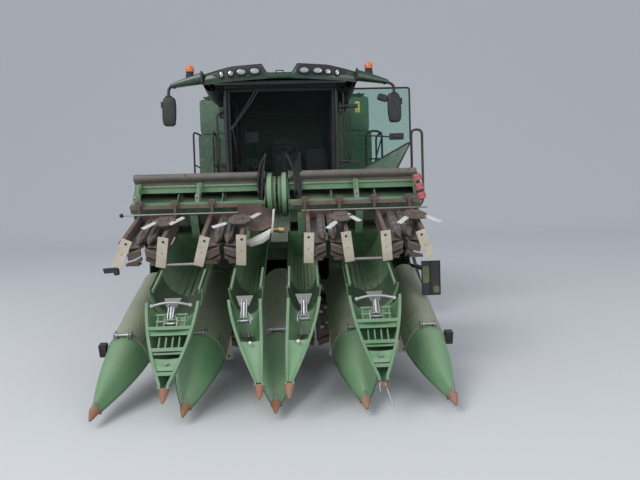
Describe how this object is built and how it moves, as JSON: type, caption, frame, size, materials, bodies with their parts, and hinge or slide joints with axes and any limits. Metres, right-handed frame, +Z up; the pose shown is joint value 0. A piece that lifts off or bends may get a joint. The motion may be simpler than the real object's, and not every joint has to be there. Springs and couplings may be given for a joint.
{
  "type": "combine harvester",
  "caption": "Self-propelled combine harvester with an open cab door, a rearward unloading auger and a folding corn header, its wings folded upside down over the centre.",
  "frame": {"origin": "on the ground under the middle of the machine's overall width and length", "axes": "+X to the operator's left, +Y rearward, +Z up"},
  "size_m": [4.0699, 12.147, 3.9925],
  "materials": {
    "green_paint": "gloss",
    "dark_green_paint": "satin",
    "faded_green_paint": "worn",
    "wing_green_paint": "worn",
    "yellow_paint": "gloss",
    "black_paint": "satin",
    "grey_paint": "satin",
    "bare_steel": "worn",
    "rusty_steel": "rusty",
    "cylinder_steel": "polished",
    "black_plastic": "matte",
    "lamp_plastic": "gloss",
    "red_plastic": "gloss",
    "seat_fabric": "matte",
    "green_plastic": "gloss",
    "cab_window": "clear",
    "tyre_rubber": "matte"
  },
  "bodies": {
    "machine": {"chassis_frame": "dark_green_paint", "front_axle": "dark_green_paint", "rear_axle": "dark_green_paint", "separator_body": "green_paint", "grain_tank": "green_paint", "rear_hood": "green_paint", "engine_block": "grey_paint", "straw_chopper": "dark_green_paint", "auger_turret": "green_paint", "exhaust": "black_paint", "cab_shell": "black_paint", "cab_glass": "cab_window", "cab_roof": "green_plastic", "roof_lights": "lamp_plastic", "mirrors": "black_plastic", "cab_interior": "seat_fabric", "platform": "black_paint", "ladder": "black_paint"},
    "header": {"feeder_house": "green_paint", "header_frame": "dark_green_paint", "row_units": "rusty_steel", "stalk_rolls": "rusty_steel", "hoods": "faded_green_paint", "snouts": "faded_green_paint", "end_board": "black_plastic"},
    "lift_barrels": {"lift_cylinder_barrels": "black_paint"},
    "lift_rods": {"lift_cylinder_rods": "cylinder_steel"},
    "header_auger_body": {"header_auger": "bare_steel"},
    "door": {"cab_door": "green_paint", "cab_door_glass": "cab_window"},
    "unloading_auger_body": {"unloading_auger": "green_paint"},
    "front_wheel_left": {"front_rim_left": "yellow_paint", "front_tyre_left": "tyre_rubber"},
    "rear_wheel_left": {"rear_rim_left": "yellow_paint", "rear_tyre_left": "tyre_rubber"},
    "steering_knuckle_left": {"knuckle_left": "dark_green_paint"},
    "wing_left": {"wing_frame_left": "wing_green_paint", "wing_row_units_left": "rusty_steel", "wing_stalk_rolls_left": "rusty_steel", "wing_hoods_left": "faded_green_paint", "wing_panel": "red_plastic"},
    "wing_points_left": {"wing_snouts_left": "faded_green_paint"},
    "wing_auger_body_left": {"wing_auger_left": "bare_steel"},
    "cover_left": {"tank_cover_left": "black_plastic"},
    "shield_left": {"side_shield_left": "green_paint"},
    "front_wheel_right": {"front_rim_right": "yellow_paint", "front_tyre_right": "tyre_rubber"},
    "rear_wheel_right": {"rear_rim_right": "yellow_paint", "rear_tyre_right": "tyre_rubber"},
    "steering_knuckle_right": {"knuckle_right": "dark_green_paint"},
    "wing_right": {"wing_frame_right": "wing_green_paint", "wing_row_units_right": "rusty_steel", "wing_stalk_rolls_right": "rusty_steel", "wing_hoods_right": "faded_green_paint"},
    "wing_points_right": {"wing_snouts_right": "faded_green_paint"},
    "wing_auger_body_right": {"wing_auger_right": "bare_steel"},
    "cover_right": {"tank_cover_right": "black_plastic"},
    "shield_right": {"side_shield_right": "green_paint"}
  },
  "joints": [
    {"name": "feeder_lift", "type": "hinge", "parent": "machine", "child": "header", "pos_m": [-0.235, -1.07773, 1.7], "axis": [-1, 0, 0], "range_deg": [0, 12]},
    {"name": "lift_cylinder_swing", "type": "hinge", "parent": "machine", "child": "lift_barrels", "pos_m": [-0.235, -1.02773, 1], "axis": [-1, 0, 0], "range_deg": [0, 11.83]},
    {"name": "lift_cylinder_stroke", "type": "slide", "parent": "lift_barrels", "child": "lift_rods", "axis": [0, -0.9912, -0.1322], "range_m": [0, 0.1476]},
    {"name": "header_auger_spin", "type": "hinge", "parent": "header", "child": "header_auger_body", "pos_m": [-0.235, -3.86773, 0.81], "axis": [1, 0, 0], "continuous": true},
    {"name": "front_wheel_left_roll", "type": "hinge", "parent": "machine", "child": "front_wheel_left", "pos_m": [1.185, -0.77773, 1.03], "axis": [1, 0, 0], "continuous": true},
    {"name": "rear_left_steer", "type": "hinge", "parent": "machine", "child": "steering_knuckle_left", "pos_m": [0.815, 3.07227, 0.74], "axis": [0, 0, 1], "range_deg": [-28, 28]},
    {"name": "rear_wheel_left_roll", "type": "hinge", "parent": "steering_knuckle_left", "child": "rear_wheel_left", "pos_m": [1.165, 3.07227, 0.74], "axis": [1, 0, 0], "continuous": true},
    {"name": "wing_left_fold", "type": "hinge", "parent": "header", "child": "wing_left", "pos_m": [1.333, -4.93601, 0.8801], "axis": [0, 0.9135, 0.4067], "range_deg": [0, 180]},
    {"name": "wing_points_left_drop", "type": "hinge", "parent": "wing_left", "child": "wing_points_left", "pos_m": [0.565, -5.40318, 0.7345], "axis": [-1, 0, 0], "range_deg": [0, 30]},
    {"name": "wing_auger_left_spin", "type": "hinge", "parent": "wing_left", "child": "wing_auger_body_left", "pos_m": [0.565, -4.27329, 1.72089], "axis": [1, 0, 0], "continuous": true},
    {"name": "tank_cover_left_lift", "type": "hinge", "parent": "machine", "child": "cover_left", "pos_m": [0.905, 0.82227, 3.734], "axis": [0, 1, 0], "range_deg": [0, 100]},
    {"name": "side_shield_left_lift", "type": "hinge", "parent": "machine", "child": "shield_left", "pos_m": [1.345, 2.22227, 2.358], "axis": [0, -1, 0], "range_deg": [0, 70]},
    {"name": "front_wheel_right_roll", "type": "hinge", "parent": "machine", "child": "front_wheel_right", "pos_m": [-1.655, -0.77773, 1.03], "axis": [1, 0, 0], "continuous": true},
    {"name": "rear_right_steer", "type": "hinge", "parent": "machine", "child": "steering_knuckle_right", "pos_m": [-1.285, 3.07227, 0.74], "axis": [0, 0, 1], "range_deg": [-28, 28]},
    {"name": "rear_wheel_right_roll", "type": "hinge", "parent": "steering_knuckle_right", "child": "rear_wheel_right", "pos_m": [-1.635, 3.07227, 0.74], "axis": [1, 0, 0], "continuous": true},
    {"name": "wing_right_fold", "type": "hinge", "parent": "header", "child": "wing_right", "pos_m": [-1.803, -4.93601, 0.8801], "axis": [0, -0.9135, -0.4067], "range_deg": [0, 180]},
    {"name": "wing_points_right_drop", "type": "hinge", "parent": "wing_right", "child": "wing_points_right", "pos_m": [-1.035, -5.40318, 0.7345], "axis": [-1, 0, 0], "range_deg": [0, 30]},
    {"name": "wing_auger_right_spin", "type": "hinge", "parent": "wing_right", "child": "wing_auger_body_right", "pos_m": [-1.035, -4.27329, 1.72089], "axis": [1, 0, 0], "continuous": true},
    {"name": "tank_cover_right_lift", "type": "hinge", "parent": "machine", "child": "cover_right", "pos_m": [-1.375, 0.82227, 3.734], "axis": [0, -1, 0], "range_deg": [0, 100]},
    {"name": "side_shield_right_lift", "type": "hinge", "parent": "machine", "child": "shield_right", "pos_m": [-1.815, 2.22227, 2.358], "axis": [0, 1, 0], "range_deg": [0, 70]},
    {"name": "cab_door_swing", "type": "hinge", "parent": "machine", "child": "door", "pos_m": [0.67, -2.30773, 2.9], "axis": [0, 0, 1], "range_deg": [0, 90]},
    {"name": "unloading_auger_swing", "type": "hinge", "parent": "machine", "child": "unloading_auger_body", "pos_m": [1.155, 0.02227, 3.2], "axis": [0, 0, -1], "range_deg": [0, 100]}
  ],
  "couplings": [
    {"joint": "lift_cylinder_swing", "follows": "feeder_lift", "ratio": 0.98166},
    {"joint": "lift_cylinder_stroke", "follows": "feeder_lift", "m_per_rad": 0.6999},
    {"joint": "wing_points_left_drop", "follows": "wing_left_fold", "ratio": 0.16667},
    {"joint": "wing_points_right_drop", "follows": "wing_right_fold", "ratio": 0.16667},
    {"joint": "rear_right_steer", "follows": "rear_left_steer", "ratio": 1}
  ]
}
